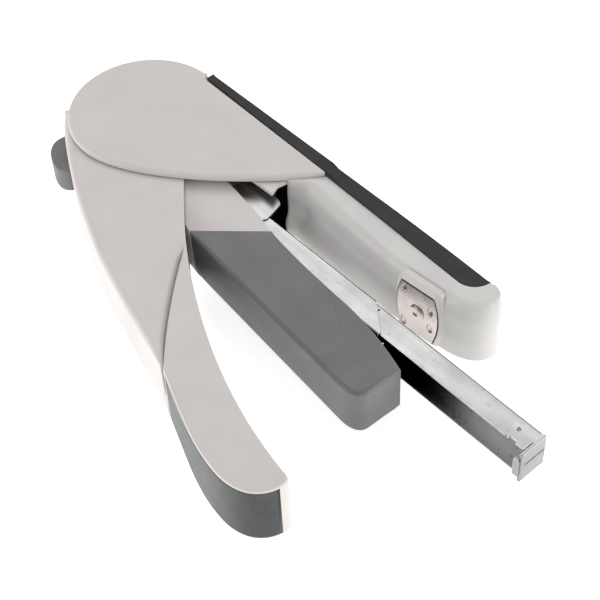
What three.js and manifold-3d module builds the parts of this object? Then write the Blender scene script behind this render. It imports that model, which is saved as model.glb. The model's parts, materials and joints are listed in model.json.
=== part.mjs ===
// A hand stapler of the plier kind, lying on its side with its magazine pulled out for loading.
// Millimetres, +Z up. Every outline is drawn in plan around the main pivot, and every height is
// measured from the stapler's mid-plane; the whole group is then lifted onto the floor.
import * as THREE from 'three';
import { mergeVertices } from 'three/addons/utils/BufferGeometryUtils.js';
import Module from 'manifold-3d';

const wasm = await Module();
wasm.setup();

// Driving dimensions
const HALF_WIDTH = 16; // mid-plane to the outer face of a cheek
const PIVOT_X = -88.017; // main pivot from the centre of the bounding box
const PIVOT_Y = 28.3;
const GAP = 0.3; // between pieces that rest on one another

const HEAD_RADIUS = 30.6; // round end of the cheeks
const CHEEK_INNER = 13.3; // mid-plane to the inner face of a cheek
const WEB_HALF = CHEEK_INNER - GAP;
const WEB_INNER_RADIUS = 27.9;
const SHIELD_HALF = 10.8; // the web's end that reaches inside the handle's rear wall
const ARM_HALF = 14.0; // mid-plane to the side face of the base arm
const ARM_FILLET = 5.2; // plan inset of the arm's rounded edges
const ARM_FILLET_HEIGHT = 2.4;
const SOLE_Y = 31.9; // outer face of the sole
const SOLE_FRONT_HALF = 14.6;

const ANVIL_SLOPE = THREE.MathUtils.degToRad(4.3);
const ANVIL_X = 136;
const ANVIL_SEAT_Y = 13.9;
const ANVIL_HALF_LENGTH = 11.4;
const ANVIL_THICKNESS = 1.2;

const SHELL_HALF = 13.0; // mid-plane to the outer face of the handle's rear shell
const SHELL_WALL = 1.8;
const LEAF_HALF = 13.8; // the front shell stands a little proud of the rear one
const HUB_RADIUS = 14.5; // disc of the handle shell around the pivot
const REAR_RADIUS = 32.6; // rear wall of the handle, just outside the cheeks

const FRAME_HALF = 10.5; // head frame and head cover
const FRAME_WALL = 1.7;
const GUIDE_HALF = 8.1; // outer steel channel
const GUIDE_WEB_Y = -9.5;
const GUIDE_REAR = 38;
const GUIDE_FRONT = 139;
const CARRIER_HALF = 7.3; // magazine channel for 12.9 mm wide staples
const STEEL = 0.6; // sheet thickness
const CARRIER_REAR = 100;
const CARRIER_FRONT = 206.6;
const CARRIER_WEB_Y = 1.2; // outer face of the magazine's web
const CARRIER_OPEN_Y = -8.4; // free edges of the magazine's walls
const FRONT_PLATE = 1.3; // thickness of the magazine's front plate
const DRIVER_X = 142;

const PIN_RADIUS = 3;
const BUSH_RADIUS = 4;
const ROUND = 14; // segments of a round stretch

// Materials
const paint = (color, roughness, metalness = 0) =>
  new THREE.MeshStandardMaterial({ color, roughness, metalness });
const IVORY = paint(0xd3cfca, 0.45);
const WHITE = paint(0xebebea, 0.4);
const GREY = paint(0x757575, 0.5);
const GRIP = paint(0x8a8c8c, 0.75);
const RUBBER = paint(0x3c3c3e, 0.8);
const NICKEL = paint(0xdcdad8, 0.25, 1);
const SPRING = paint(0x9a9c9e, 0.3, 1);
const BEIGE = paint(0xc9bfae, 0.5);

const rad = THREE.MathUtils.degToRad;
const polar = (radius, degrees) => [radius * Math.cos(rad(degrees)), radius * Math.sin(rad(degrees))];

// Solids and booleans: a boolean takes geometries or solids, and gives a solid
function toSolid(piece) {
  if (!piece.isBufferGeometry) return piece;
  const bare = piece.clone();
  bare.deleteAttribute('normal');
  bare.deleteAttribute('uv');
  const merged = mergeVertices(bare, 1e-4);
  const vertProperties = new Float32Array(merged.attributes.position.array);
  const triVerts = new Uint32Array(merged.index.array);
  return new wasm.Manifold(new wasm.Mesh({ numProp: 3, vertProperties, triVerts }));
}

function toGeometry(piece) {
  if (piece.isBufferGeometry) return piece;
  const { vertProperties, triVerts } = piece.getMesh();
  const geometry = new THREE.BufferGeometry();
  geometry.setAttribute('position', new THREE.BufferAttribute(vertProperties, 3));
  geometry.setIndex(new THREE.BufferAttribute(triVerts, 1));
  return geometry;
}

const cut = (piece, ...tools) => tools.reduce((solid, tool) => solid.subtract(toSolid(tool)), toSolid(piece));
const join = (piece, ...others) => others.reduce((solid, other) => solid.add(toSolid(other)), toSolid(piece));

// Plain shapes
function outline(points) {
  return new THREE.Shape(points.map(([x, y]) => new THREE.Vector2(x, y)));
}

function slab(shape, low, high) {
  const options = { depth: high - low, bevelEnabled: false, curveSegments: ROUND };
  return new THREE.ExtrudeGeometry(shape, options).translate(0, 0, low);
}

function roundedSlab(shape, low, high, inset, height, steps = 3) {
  return new THREE.ExtrudeGeometry(shape, {
    depth: high - low - 2 * height,
    bevelEnabled: true,
    bevelSize: inset,
    bevelOffset: -inset,
    bevelThickness: height,
    bevelSegments: steps,
    curveSegments: ROUND,
  }).translate(0, 0, low + height);
}

function block([x0, x1], [y0, y1], [z0, z1]) {
  const box = new THREE.BoxGeometry(x1 - x0, y1 - y0, z1 - z0);
  return box.translate((x0 + x1) / 2, (y0 + y1) / 2, (z0 + z1) / 2);
}

function post([x, y], radius, low, high, sides = 24) {
  const cylinder = new THREE.CylinderGeometry(radius, radius, high - low, sides);
  return cylinder.rotateX(Math.PI / 2).translate(x, y, (low + high) / 2);
}

// A section drawn in the Y-Z plane and drawn out along X
function rail(points, x0, x1) {
  const geometry = new THREE.ExtrudeGeometry(outline(points), { depth: x1 - x0, bevelEnabled: false });
  const turn = new THREE.Matrix4().makeBasis(
    new THREE.Vector3(0, 1, 0), new THREE.Vector3(0, 0, 1), new THREE.Vector3(1, 0, 0));
  return geometry.applyMatrix4(turn).translate(x0, 0, 0);
}

function ring(inner, outer, startDegrees, endDegrees, low, high) {
  const shape = new THREE.Shape();
  shape.absarc(0, 0, outer, rad(startDegrees), rad(endDegrees), false);
  shape.absarc(0, 0, inner, rad(endDegrees), rad(startDegrees), true);
  return slab(shape, low, high);
}

function tube([x, y], inner, outer, low, high) {
  const shape = new THREE.Shape().absarc(x, y, outer, 0, 2 * Math.PI, false);
  shape.holes.push(new THREE.Path().absarc(x, y, inner, 0, 2 * Math.PI, true));
  return slab(shape, low, high);
}

class Helix extends THREE.Curve {
  constructor(radius, turns, low, high) {
    super();
    Object.assign(this, { radius, turns, low, high });
  }

  getPoint(t, target = new THREE.Vector3()) {
    const angle = 2 * Math.PI * this.turns * t;
    const height = this.low + (this.high - this.low) * t;
    return target.set(this.radius * Math.cos(angle), this.radius * Math.sin(angle), height);
  }
}

function coil(radius, wire, turns, low, high) {
  const section = new THREE.Shape().absarc(0, 0, wire, 0, 2 * Math.PI, false);
  const extrudePath = new Helix(radius, turns, low, high);
  const options = { steps: Math.round(turns * ROUND), extrudePath, curveSegments: 4, bevelEnabled: false };
  return new THREE.ExtrudeGeometry(section, options);
}

// Coils around the pivot bush; the pitch leaves a gap between neighbouring turns
function torsionSpring(nearMid, farFromMid) {
  const [low, high] = [nearMid, farFromMid].sort((a, b) => a - b);
  return coil(5.4, 0.42, 2, low, high);
}

// Scene graph
const stapler = new THREE.Group();
const BODY_NAMES = [
  'base', 'anvil', 'head', 'latch', 'driver_arm', 'driver', 'magazine', 'pusher', 'handle', 'button',
];
const bodies = {};
for (const name of BODY_NAMES) {
  bodies[name] = new THREE.Group();
  stapler.add(bodies[name]);
}

function addPiece(body, name, piece, material) {
  const mesh = new THREE.Mesh(toGeometry(piece), material);
  mesh.name = name;
  bodies[body].add(mesh);
  return mesh;
}

// Base: two teardrop cheeks, the arm between and beyond them, and the rubber sole
const TIP = [74, 26];
const STRIP_START = [2.2, 28.4];

function cheekShape() {
  const shape = new THREE.Shape();
  shape.absarc(0, 0, HEAD_RADIUS, rad(90), rad(278), false);
  shape.bezierCurveTo(27.3, -27.2, 61.3, 6.5, ...TIP);
  shape.lineTo(...STRIP_START);
  return shape;
}

function soleShape(grow = 0) {
  const shape = new THREE.Shape();
  shape.moveTo(STRIP_START[0] - grow, STRIP_START[1] + GAP - grow);
  shape.lineTo(TIP[0], TIP[1] + GAP - grow);
  shape.lineTo(136, 24.1 - grow);
  shape.lineTo(144.5, 23.8 - grow);
  shape.bezierCurveTo(148.6, 23.8 - grow, 151.8 + grow, 26.8, 152.3 + grow, 31);
  shape.lineTo(152.3 + grow, SOLE_Y + grow);
  shape.lineTo(STRIP_START[0] - grow, SOLE_Y + grow);
  return shape;
}

function armShape() {
  const seat = (x) => ANVIL_SEAT_Y + (x - ANVIL_X) * Math.tan(ANVIL_SLOPE);
  const shape = new THREE.Shape();
  shape.moveTo(58, 18.4);
  shape.lineTo(72.4, 17);
  shape.quadraticCurveTo(98, 13.2, 122, seat(122));
  shape.lineTo(147, seat(147));
  shape.bezierCurveTo(154, 15.3, 161.4, 18.5, 161.8, 25.5);
  shape.bezierCurveTo(161.9, 29.6, 158.6, SOLE_Y, 154, SOLE_Y);
  shape.lineTo(58, SOLE_Y);
  return shape;
}

const SCREW_PLACES = [[-18.4, 18.4], [22, 24.8], [60, 23]];
const SCREW_HOLE = 1.6;

function baseArm() {
  const arm = roundedSlab(armShape(), -ARM_HALF, ARM_HALF, ARM_FILLET, ARM_FILLET_HEIGHT, 4);
  const cheekRoom = [1, -1].map((side) => {
    const [low, high] = side > 0 ? [WEB_HALF, 17] : [-17, -WEB_HALF];
    const grown = cheekShape().getPoints(ROUND).map((p) => [p.x * 1.006 + 0.1, p.y * 1.006 - 0.2]);
    return slab(outline(grown), low, high);
  });
  const soleRoom = slab(soleShape(GAP), -17, 17);
  const strip = [[0, 22], [62, 21.5], [62, 26], [0, 28.3]];
  const endWall = [[65.2, 15], [66.3, 14.2], [72.4, 17], [72.4, 21.5], [65, 21.5], [66.6, 18]];
  const web = join(
    ring(WEB_INNER_RADIUS, HEAD_RADIUS - GAP, 84, 214, -WEB_HALF, WEB_HALF),
    ring(WEB_INNER_RADIUS, HEAD_RADIUS - GAP, 210, 230, -SHIELD_HALF, SHIELD_HALF),
    slab(outline(strip), -WEB_HALF, WEB_HALF),
    slab(outline(endWall), -WEB_HALF, WEB_HALF),
    post(SCREW_PLACES[0], 3.2, -WEB_HALF, WEB_HALF, 16),
  );
  const pilots = SCREW_PLACES.map((place) => post(place, SCREW_HOLE, -WEB_HALF - 1, -5, 12));
  const rivetHole = anvilFrame(post([0, 0], 2.3, -5, 1, 16));
  return cut(join(cut(arm, ...cheekRoom), web), soleRoom, ...pilots, rivetHole);
}

// Moves a piece drawn flat, with +Z as its outer side, onto the sloping anvil seat
function anvilFrame(geometry) {
  return geometry.rotateX(Math.PI / 2).rotateZ(ANVIL_SLOPE).translate(ANVIL_X, ANVIL_SEAT_Y, 0);
}

function solePad() {
  const relief = [[73.2, 17], [73.2, HALF_WIDTH], [75.6, SOLE_FRONT_HALF], [170, SOLE_FRONT_HALF], [170, 17]];
  const upper = slab(outline(relief), -40, -20).rotateX(Math.PI / 2);
  const lower = slab(outline(relief.map(([x, z]) => [x, -z]).reverse()), -40, -20).rotateX(Math.PI / 2);
  return cut(slab(soleShape(), -HALF_WIDTH, HALF_WIDTH), upper, lower);
}

function lowerCheek() {
  const cheek = roundedSlab(cheekShape(), -HALF_WIDTH, -CHEEK_INNER, 1.1, 1.0);
  const holes = SCREW_PLACES.map((place) => post(place, SCREW_HOLE, -17, -12, 12));
  const counterbores = SCREW_PLACES.map((place) => post(place, 3.1, -17, -14.6, 20));
  return cut(cheek, ...holes, ...counterbores);
}

function cheekScrew([x, y]) {
  const profile = [[0, -15.7], [2.6, -15.7], [2.7, -15.4], [2.7, -14.8], [1.3, -14.8], [1.3, -7], [0, -6.4]];
  const points = profile.map(([r, z]) => new THREE.Vector2(r, z));
  return new THREE.LatheGeometry(points, 16).rotateX(Math.PI / 2).translate(x, y, 0);
}

addPiece('base', 'base_arm', baseArm(), WHITE);
addPiece('base', 'upper_cheek', roundedSlab(cheekShape(), CHEEK_INNER, HALF_WIDTH, 1.1, 1.0), IVORY);
addPiece('base', 'lower_cheek', lowerCheek(), IVORY);
addPiece('base', 'sole_pad', solePad(), RUBBER);
SCREW_PLACES.forEach((place, i) => addPiece('base', `cheek_screw_${i + 1}`, cheekScrew(place), SPRING));
addPiece('base', 'pivot_pin', post([0, 0], PIN_RADIUS, -WEB_HALF, WEB_HALF), NICKEL);

// Anvil: a barrel-shaped plate with a wide and a narrow pair of bending grooves, on a rivet
function anvilPlate() {
  const shape = new THREE.Shape();
  shape.moveTo(-7.15, -ANVIL_HALF_LENGTH);
  shape.lineTo(7.15, -ANVIL_HALF_LENGTH);
  shape.quadraticCurveTo(11.3, 0, 7.15, ANVIL_HALF_LENGTH);
  shape.lineTo(-7.15, ANVIL_HALF_LENGTH);
  shape.quadraticCurveTo(-11.3, 0, -7.15, -ANVIL_HALF_LENGTH);
  const groove = (x, y, length) => {
    const pit = new THREE.SphereGeometry(1, 12, 8).scale(1.3, length, 0.7);
    return anvilFrame(pit.translate(x, y, GAP + ANVIL_THICKNESS + 0.1));
  };
  const grooves = [-1, 1].flatMap((side) => [groove(-6, side * 8.6, 2.5), groove(6, side * 4.3, 2.4)]);
  const plate = anvilFrame(slab(shape, GAP, GAP + ANVIL_THICKNESS));
  return cut(plate, ...grooves, anvilFrame(post([0, 0], 2.2, -1, 3, 16)));
}

function anvilRivet() {
  const profile = [[0, -4], [1.9, -4], [1.9, 1.7], [3.2, 1.7], [3.1, 2.1], [1.8, 2.5], [0, 2.6]];
  const points = profile.map(([r, z]) => new THREE.Vector2(r, z));
  return anvilFrame(new THREE.LatheGeometry(points, 20).rotateX(Math.PI / 2));
}

addPiece('base', 'anvil_rivet', anvilRivet(), NICKEL);
addPiece('anvil', 'anvil_plate', anvilPlate(), NICKEL);

// Head: frame, grey cover, steel guide, driver guide, limit bracket and latch
const COVER_REAR = [[58.4, -26.2], [79.2, -4.9]];

function headFrame() {
  const shape = new THREE.Shape();
  shape.moveTo(47, 0.6);
  shape.lineTo(9, 9.2);
  shape.absarc(0, 0, 13, rad(45), rad(262), false);
  shape.lineTo(20, -17.5);
  shape.lineTo(COVER_REAR[0][0] - 0.4, COVER_REAR[0][1]);
  shape.lineTo(COVER_REAR[1][0] - 0.4, COVER_REAR[1][1]);
  shape.lineTo(65.3, -2);
  const inner = FRAME_HALF - FRAME_WALL;
  const body = roundedSlab(shape, -FRAME_HALF, FRAME_HALF, 0.5, 0.5, 1);
  const guideRoom = block([36, 100], [-9.9, 12], [-inner, inner]);
  const leverRoom = slab(outline([[-14, -14], [38, -40], [38, -10.2], [38, 14], [-14, 14]]), -inner, inner);
  const armRoom = block([30, 100], [-23.5, -5], [-3, 3]);
  return cut(body, guideRoom, leverRoom, armRoom, post([0, 0], PIN_RADIUS + 0.1, -12, 12));
}

function headCover() {
  const shape = new THREE.Shape();
  shape.moveTo(...COVER_REAR[0]);
  shape.lineTo(70, -27.9);
  shape.lineTo(147, -34.6);
  shape.bezierCurveTo(152, -35, 156, -33.5, 156, -29.5);
  shape.lineTo(156.3, -15.3);
  shape.quadraticCurveTo(140, -9.8, 124, -8.9);
  shape.quadraticCurveTo(97, -7.8, ...COVER_REAR[1]);
  const cover = roundedSlab(shape, -FRAME_HALF, FRAME_HALF, 0.9, 0.9, 3);
  const inner = FRAME_HALF - FRAME_WALL;
  const hollow = [[65, -25.4], [146, -32.4], [153.6, -31.6], [154, -22], [154, 0], [60, 0], [60, -10]];
  const rearWay = [[50, -24.4], [80, -25], [80, 0], [50, 0]];
  return cut(cover, slab(outline(hollow), -inner, inner), slab(outline(rearWay), -3, 3));
}

// U-shaped sheet steel section of two walls along Y joined by a web
function channel(half, webY, openY) {
  const towardsOpen = Math.sign(openY - webY);
  const inside = webY + towardsOpen * STEEL;
  const section = [
    [webY, -half], [webY, half], [openY, half], [openY, half - STEEL],
    [inside, half - STEEL], [inside, STEEL - half], [openY, STEEL - half], [openY, -half],
  ];
  return towardsOpen > 0 ? section : section.reverse();
}

function magazineGuide() {
  const guide = rail(channel(GUIDE_HALF, GUIDE_WEB_Y, 1.0), GUIDE_REAR, GUIDE_FRONT);
  const rearStep = block([GUIDE_REAR - 1, 60], [-4.4, 3], [-9, 9]);
  const slantedFront = slab(outline([[127.3, 1.1], [139.2, -8], [141, -8], [141, 3], [127.3, 3]]), -9, 9);
  return cut(guide, rearStep, slantedFront);
}

function driverGuide() {
  const half = FRAME_HALF - FRAME_WALL - GAP;
  const body = block([DRIVER_X - 3, DRIVER_X + 3.4], [-24.4, -12], [-half, half]);
  return cut(body, block([DRIVER_X - 0.7, DRIVER_X + 0.7], [-30, 0], [-6.8, 6.8]),
    block([DRIVER_X - 10, DRIVER_X], [-30, 0], [-3.2, 3.2]));
}

// A steel tab over the guide's wall, with a lip turned down in front of the base's end wall
function limitBracket() {
  const tab = [[61.2, -3.6], [70.6, -3.6], [70.2, 7], [69.2, 7.8], [66.6, 7], [62.4, -1]];
  const lip = [[69.2, 1.4], [70.2, 1.4], [70, 7], [69.2, 7.6]];
  const top = FRAME_HALF - FRAME_WALL - 0.1;
  return join(slab(outline(tab), GUIDE_HALF + 0.1, top), slab(outline(lip), -4.5, top));
}

const LATCH_PIN = [26.4, -11.3];

function magazineLatch() {
  const hook = [[24, -13], [37, -12.4], [37.6, -10], [35.6, -8.4], [35, -10.2], [24, -9.6]];
  return cut(slab(outline(hook), 3, 5.6), post(LATCH_PIN, 1.0, 2, 7, 12));
}

addPiece('head', 'head_frame', headFrame(), IVORY);
addPiece('head', 'head_cover', headCover(), GREY);
addPiece('head', 'magazine_guide', magazineGuide(), NICKEL);
addPiece('head', 'driver_guide', driverGuide(), SPRING);
addPiece('head', 'limit_bracket', limitBracket(), NICKEL);
addPiece('head', 'pivot_bush', tube([0, 0], PIN_RADIUS + 0.1, BUSH_RADIUS, -5.7, 5.7), BEIGE);
addPiece('head', 'return_spring', torsionSpring(-2.75, -5), SPRING);
addPiece('latch', 'magazine_latch', magazineLatch(), SPRING);
addPiece('head', 'latch_pin', post(LATCH_PIN, 0.9, 2.2, 8.6, 12), NICKEL);
for (const [name, side] of [['upper', 1], ['lower', -1]]) {
  const heights = [side * 10.65, side * 11.05].sort((a, b) => a - b);
  addPiece('head', `${name}_washer`, tube([0, 0], PIN_RADIUS + 0.1, 7, ...heights), NICKEL);
}

// Driver: an arm on the pivot swings the blade down through its guide
function driverArm() {
  const shape = new THREE.Shape();
  shape.moveTo(8, 5);
  shape.absarc(0, 0, 8.4, rad(40), rad(285), false);
  shape.lineTo(60, -22);
  shape.lineTo(DRIVER_X - 2, -23.4);
  shape.lineTo(DRIVER_X - 2, -20.4);
  shape.lineTo(60, -17);
  shape.lineTo(38, -15);
  shape.lineTo(22, -8);
  return cut(slab(shape, -1.2, 1.2), post([0, 0], BUSH_RADIUS + 0.1, -3, 3));
}

function driverBlade() {
  return block([DRIVER_X - STEEL / 2, DRIVER_X + STEEL / 2], [-23, -9.6], [-6.4, 6.4]);
}

addPiece('driver_arm', 'driver_arm', driverArm(), SPRING);
addPiece('driver', 'driver_blade', driverBlade(), NICKEL);

// Magazine: a steel channel open towards the driver, its front plate, pusher and pusher spring
function magazineChannel() {
  const section = channel(CARRIER_HALF, CARRIER_WEB_Y, CARRIER_OPEN_Y);
  const walls = rail(section, CARRIER_REAR, CARRIER_FRONT - FRONT_PLATE - GAP);
  const rear = block([CARRIER_REAR, CARRIER_REAR + 1], [-7.6, CARRIER_WEB_Y - 0.1], [-7, 7]);
  const outlet = block([CARRIER_FRONT - 5, CARRIER_FRONT], [-0.6, 2], [-6.6, 6.6]);
  const notch = block([CARRIER_FRONT - 7.5, CARRIER_FRONT - 5], [-9, -7.2], [6, 8]);
  const rivetHole = post([CARRIER_FRONT - 8, -3.4], 0.8, 6, 8, 12);
  return cut(join(walls, rear), outlet, notch, rivetHole);
}

function magazineFront() {
  const plate = block([CARRIER_FRONT - FRONT_PLATE, CARRIER_FRONT], [-10.6, CARRIER_WEB_Y],
    [-CARRIER_HALF, CARRIER_HALF]);
  const hook = block([CARRIER_FRONT - 2.9, CARRIER_FRONT - 0.5], [-11.4, -10.2], [-4, 4]);
  const slit = block([CARRIER_FRONT - 2, CARRIER_FRONT + 1], [-9, 0.2], [0.4, 1.2]);
  return cut(join(plate, hook), slit);
}

const PUSHER_REAR = CARRIER_REAR + 12.5;

function pusher() {
  const half = CARRIER_HALF - STEEL - GAP;
  const body = block([PUSHER_REAR, PUSHER_REAR + 9], [-7.6, 0.2], [-half, half]);
  return cut(body, block([PUSHER_REAR + 1.5, PUSHER_REAR + 7.5], [-9, -1.5], [1 - half, half - 1]));
}

function pusherSpring() {
  const turns = coil(2.6, 0.35, 9, 0, 10.2);
  return turns.rotateY(Math.PI / 2).translate(CARRIER_REAR + 1.6, -3.6, 0);
}

addPiece('magazine', 'magazine_channel', magazineChannel(), NICKEL);
addPiece('magazine', 'magazine_front', magazineFront(), NICKEL);
addPiece('magazine', 'pusher_spring', pusherSpring(), SPRING);
addPiece('pusher', 'staple_pusher', pusher(), SPRING);

// Handle: rear shell, overlapping front shell, rubber grip and the steel lever inside
const SEAM = [[63.6, -32], [78, -53], [104, -74.6]];
const BUTTON_WALL = [-11.56, -31.59]; // middle of the button on the handle's rear wall
const BUTTON_TURN = rad(-29);

function outerEdge(shape) {
  shape.bezierCurveTo(4, -41, 22, -49, 41, -56.5);
  shape.bezierCurveTo(58, -63, 80, -67.6, SEAM[2][0], SEAM[2][1]);
}

function rearShellShape() {
  const shape = new THREE.Shape();
  shape.moveTo(...SEAM[0]);
  shape.bezierCurveTo(48, -21.5, 30, -5.5, ...polar(HUB_RADIUS, 51));
  shape.absarc(0, 0, HUB_RADIUS, rad(51), rad(165), false);
  shape.lineTo(...polar(REAR_RADIUS, 222));
  shape.absarc(0, 0, REAR_RADIUS, rad(222), rad(240), false);
  outerEdge(shape);
  shape.quadraticCurveTo(...SEAM[1].map((v, i) => v + [3, -1.6][i]), ...SEAM[0]);
  return shape;
}

function rearHollowShape() {
  const shape = new THREE.Shape();
  shape.moveTo(140, -60);
  shape.lineTo(60, 40);
  shape.lineTo(-30, 40);
  shape.lineTo(-40, -10);
  shape.lineTo(...polar(30.6, 215));
  shape.absarc(0, 0, HEAD_RADIUS, rad(218), rad(240), false);
  shape.bezierCurveTo(5, -38.6, 23, -46.8, 42, -54.2);
  shape.bezierCurveTo(58, -60.4, 82, -65.2, 112, -74);
  return shape;
}

// Places a piece drawn with +Y pointing out of the handle's rear wall
const onRearWall = (geometry) => geometry.rotateZ(Math.PI + BUTTON_TURN).translate(...BUTTON_WALL, 0);

function handleRearShell() {
  const inner = SHELL_HALF - SHELL_WALL;
  return cut(
    slab(rearShellShape(), -SHELL_HALF, SHELL_HALF),
    slab(rearHollowShape(), -inner, inner),
    onRearWall(block([-10.3, 10.3], [-6, 6], [-6, 6])),
    post([0, 0], PIN_RADIUS + 0.1, -17, 17),
  );
}

function leafShape() {
  const shape = new THREE.Shape();
  shape.moveTo(SEAM[0][0] + GAP, SEAM[0][1] - 0.2);
  shape.quadraticCurveTo(SEAM[1][0] + 3.3, SEAM[1][1] - 1.6, SEAM[2][0] + GAP, SEAM[2][1] - 0.1);
  shape.bezierCurveTo(118, -80, 134, -87.6, 149, -88.3);
  shape.bezierCurveTo(158.4, -88.6, 164.8, -84.2, 166, -76.2);
  shape.quadraticCurveTo(166.4, -72.8, 164, -72.5);
  shape.bezierCurveTo(127.7, -67.9, 93.9, -52.5, SEAM[0][0] + GAP, SEAM[0][1] - 0.2);
  return shape;
}

function leafHollowShape() {
  const shape = new THREE.Shape();
  shape.moveTo(50, -20);
  shape.lineTo(60, -50);
  shape.lineTo(104, -71.9);
  shape.bezierCurveTo(118, -77, 134, -84.6, 149, -85.2);
  shape.bezierCurveTo(157, -85.4, 161.6, -82, 162.6, -76);
  shape.lineTo(162.6, -60);
  return shape;
}

function gripShape(grow = 0) {
  const shape = new THREE.Shape();
  shape.moveTo(105.4 - grow, -74.9 - 2 * grow);
  shape.bezierCurveTo(118, -80 - grow, 134, -88 - grow, 149, -88.5 - grow);
  shape.bezierCurveTo(158.2 + grow, -88.8 - grow, 164.5 + grow, -84.7 - grow, 165.8 + grow, -77.2 + grow);
  shape.lineTo(164.2 - grow, -77.2 + grow);
  shape.bezierCurveTo(162.7 - grow, -83.4 + grow, 157, -87 + grow, 149, -86.8 + grow);
  shape.bezierCurveTo(134, -86 + grow, 118, -78.4 + grow, 106 - grow, -73.6 + grow);
  return shape;
}

const GRIP_HALF = 12.4;

function handleLeaf() {
  const inner = SHELL_HALF - SHELL_WALL;
  return cut(
    slab(leafShape(), -LEAF_HALF, LEAF_HALF),
    slab(leafHollowShape(), -inner, inner),
    slab(gripShape(GAP), -GRIP_HALF - GAP, GRIP_HALF + GAP),
  );
}

function handleLever() {
  const shape = new THREE.Shape();
  shape.absarc(0, 0, 7.4, rad(20), rad(230), false);
  shape.lineTo(2, -28);
  shape.bezierCurveTo(20, -41.5, 60, -60, 114, -72.4);
  shape.lineTo(114, -68);
  shape.bezierCurveTo(84, -60, 52, -48, 30, -33);
  const slotShape = outline([[-20, 20], [-20, -14], [6, -27], [30, -41], [115, -71.5], [115, 20]]);
  return cut(slab(shape, -8.2, 8.2), slab(slotShape, -6, 6), post([0, 0], PIN_RADIUS + 0.1, -12, 12));
}

addPiece('handle', 'handle_rear_shell', handleRearShell(), IVORY);
addPiece('handle', 'handle_front_shell', handleLeaf(), IVORY);
addPiece('handle', 'grip_pad', slab(gripShape(), -GRIP_HALF, GRIP_HALF), GRIP);
addPiece('handle', 'handle_lever', handleLever(), SPRING);
addPiece('handle', 'drive_spring', torsionSpring(2.75, 5), SPRING);

// Release button in the handle's rear wall, with its spring
function releaseButton() {
  const shape = new THREE.Shape();
  shape.moveTo(-9.9, -3.4);
  shape.lineTo(4, -3.4);
  shape.lineTo(9.9, -0.8);
  shape.bezierCurveTo(9.7, 3.4, 5.6, 6.2, 0.4, 6.2);
  shape.bezierCurveTo(-5.4, 6.2, -9.6, 4.6, -9.9, 0.4);
  return onRearWall(roundedSlab(shape, -5.7, 5.7, 0.7, 0.7, 2));
}

addPiece('button', 'release_button', releaseButton(), GRIP);

stapler.position.set(PIVOT_X, PIVOT_Y, HALF_WIDTH);
export default stapler;
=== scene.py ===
import json
import math

import bmesh
import bpy
from mathutils import Matrix, Vector


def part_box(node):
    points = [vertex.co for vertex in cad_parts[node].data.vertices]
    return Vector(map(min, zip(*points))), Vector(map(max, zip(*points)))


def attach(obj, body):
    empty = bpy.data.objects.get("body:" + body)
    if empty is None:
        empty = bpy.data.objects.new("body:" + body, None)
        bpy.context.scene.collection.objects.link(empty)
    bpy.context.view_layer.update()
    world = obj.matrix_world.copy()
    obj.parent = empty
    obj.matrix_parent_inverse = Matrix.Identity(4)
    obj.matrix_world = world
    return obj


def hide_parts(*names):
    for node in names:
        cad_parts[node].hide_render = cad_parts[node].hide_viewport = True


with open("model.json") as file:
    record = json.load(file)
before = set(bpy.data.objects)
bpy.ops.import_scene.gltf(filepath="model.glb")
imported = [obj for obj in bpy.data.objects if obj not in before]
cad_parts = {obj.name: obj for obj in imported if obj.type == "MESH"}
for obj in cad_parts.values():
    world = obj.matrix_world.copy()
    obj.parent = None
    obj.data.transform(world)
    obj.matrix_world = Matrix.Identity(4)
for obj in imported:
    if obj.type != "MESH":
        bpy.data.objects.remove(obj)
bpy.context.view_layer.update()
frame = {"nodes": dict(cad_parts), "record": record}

MM = 0.001
PIN_LOW, PIN_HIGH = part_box("pivot_pin")
PIVOT = (PIN_LOW + PIN_HIGH) / 2
TO_FRAME = Matrix.Translation(PIVOT) @ Matrix.Scale(MM, 4)

CHEEK_OUTER = 16.0
CHEEK_INNER = 13.3
HEAD_RADIUS = 30.6
REAR_RADIUS = 32.6
HUB_RADIUS = 14.5
ARM_HALF = 14.0
SOLE_Y = 31.9
ANVIL_PLACE = (136, 13.9)
ANVIL_SLOPE = math.radians(4.3)
SHELL_HALF = 13.0
SHELL_WALL = 1.8
LEAF_HALF = 13.8
GRIP_HALF = 12.4
FRAME_HALF = 10.5
FRAME_WALL = 1.7
GUIDE_HALF = 8.1
CARRIER_HALF = 7.3
STEEL = 0.6
PIN_BORE = 3.1
SCREW_PLACES = [(-18.4, 18.4), (22, 24.8), (60, 23)]
SCREW_BORE = 1.6
SCREW_HEAD_BORE = 3.1
SHARP_TURN = math.radians(30)
MERGE = 1e-4


# ---------------------------------------------------------------- outlines and meshes

class Outline:
    """A closed outline in plan, in millimetres."""

    def __init__(self, *start):
        self.points = [start]

    def line(self, *places):
        self.points += places
        return self

    def curve(self, *controls, steps=18):
        """A quadratic or cubic curve from the last point."""
        nodes = [Vector(p) for p in (self.points[-1], *controls)]
        for i in range(1, steps + 1):
            level = nodes
            while len(level) > 1:
                level = [a.lerp(b, i / steps) for a, b in zip(level, level[1:])]
            self.points.append(tuple(level[0]))
        return self

    def arc(self, radius, start, end, centre=(0, 0), steps=24):
        for i in range(steps + 1):
            self.points.append(polar(radius, start + (end - start) * i / steps, centre))
        return self


def polar(radius, degrees, centre=(0, 0)):
    angle = math.radians(degrees)
    return (centre[0] + radius * math.cos(angle), centre[1] + radius * math.sin(angle))


def without_repeats(points, nearest=0.02):
    kept = []
    for x, y in points:
        if not kept or math.hypot(x - kept[-1][0], y - kept[-1][1]) > nearest:
            kept.append((x, y))
    if math.hypot(kept[0][0] - kept[-1][0], kept[0][1] - kept[-1][1]) < nearest:
        kept.pop()
    return kept


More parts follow.
